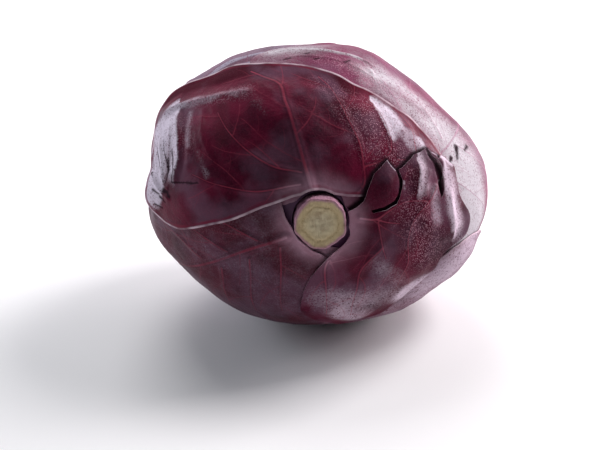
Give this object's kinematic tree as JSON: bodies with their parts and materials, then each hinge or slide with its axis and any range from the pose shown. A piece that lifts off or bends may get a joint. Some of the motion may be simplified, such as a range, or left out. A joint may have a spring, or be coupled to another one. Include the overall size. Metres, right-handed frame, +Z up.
{
  "type": "red cabbage head",
  "caption": "Whole red cabbage head lying on its side, with layered wrapper leaves round a dense heart and a cut stem end.",
  "frame": {"origin": "middle of the small flat spot on the underside that the head rests on", "axes": "+Z up, the cut stem end faces -Y and the crown faces +Y, +X to the right as the stem end is looked at"},
  "size_m": [0.1803, 0.1626, 0.145],
  "materials": {
    "heart": "matt purple inner leaf",
    "cut_stem": "matt cream cut face with a purple rind",
    "crown_leaf": "dusky purple leaf under a pale waxy bloom",
    "back_left_leaf": "dusky purple leaf under a bluish waxy bloom",
    "back_right_leaf": "red-purple leaf under a heavy pinkish white waxy bloom",
    "underside_leaf": "dark purple leaf with a thin bloom, satin",
    "left_leaf": "dark purple leaf with a thin bloom, satin",
    "front_top_leaf": "dark burgundy leaf with pink-red ribs, half gloss, fine water drops",
    "front_right_leaf": "dark burgundy leaf with pink-red ribs, torn edge, half gloss"
  },
  "bodies": {
    "root": {"heart": "heart", "stem": "cut_stem", "leaf_crown": "crown_leaf", "leaf_back_left": "back_left_leaf", "leaf_back_right": "back_right_leaf", "leaf_underside": "underside_leaf", "leaf_left": "left_leaf", "leaf_front_top": "front_top_leaf", "leaf_front_right": "front_right_leaf"}
  },
  "joints": []
}
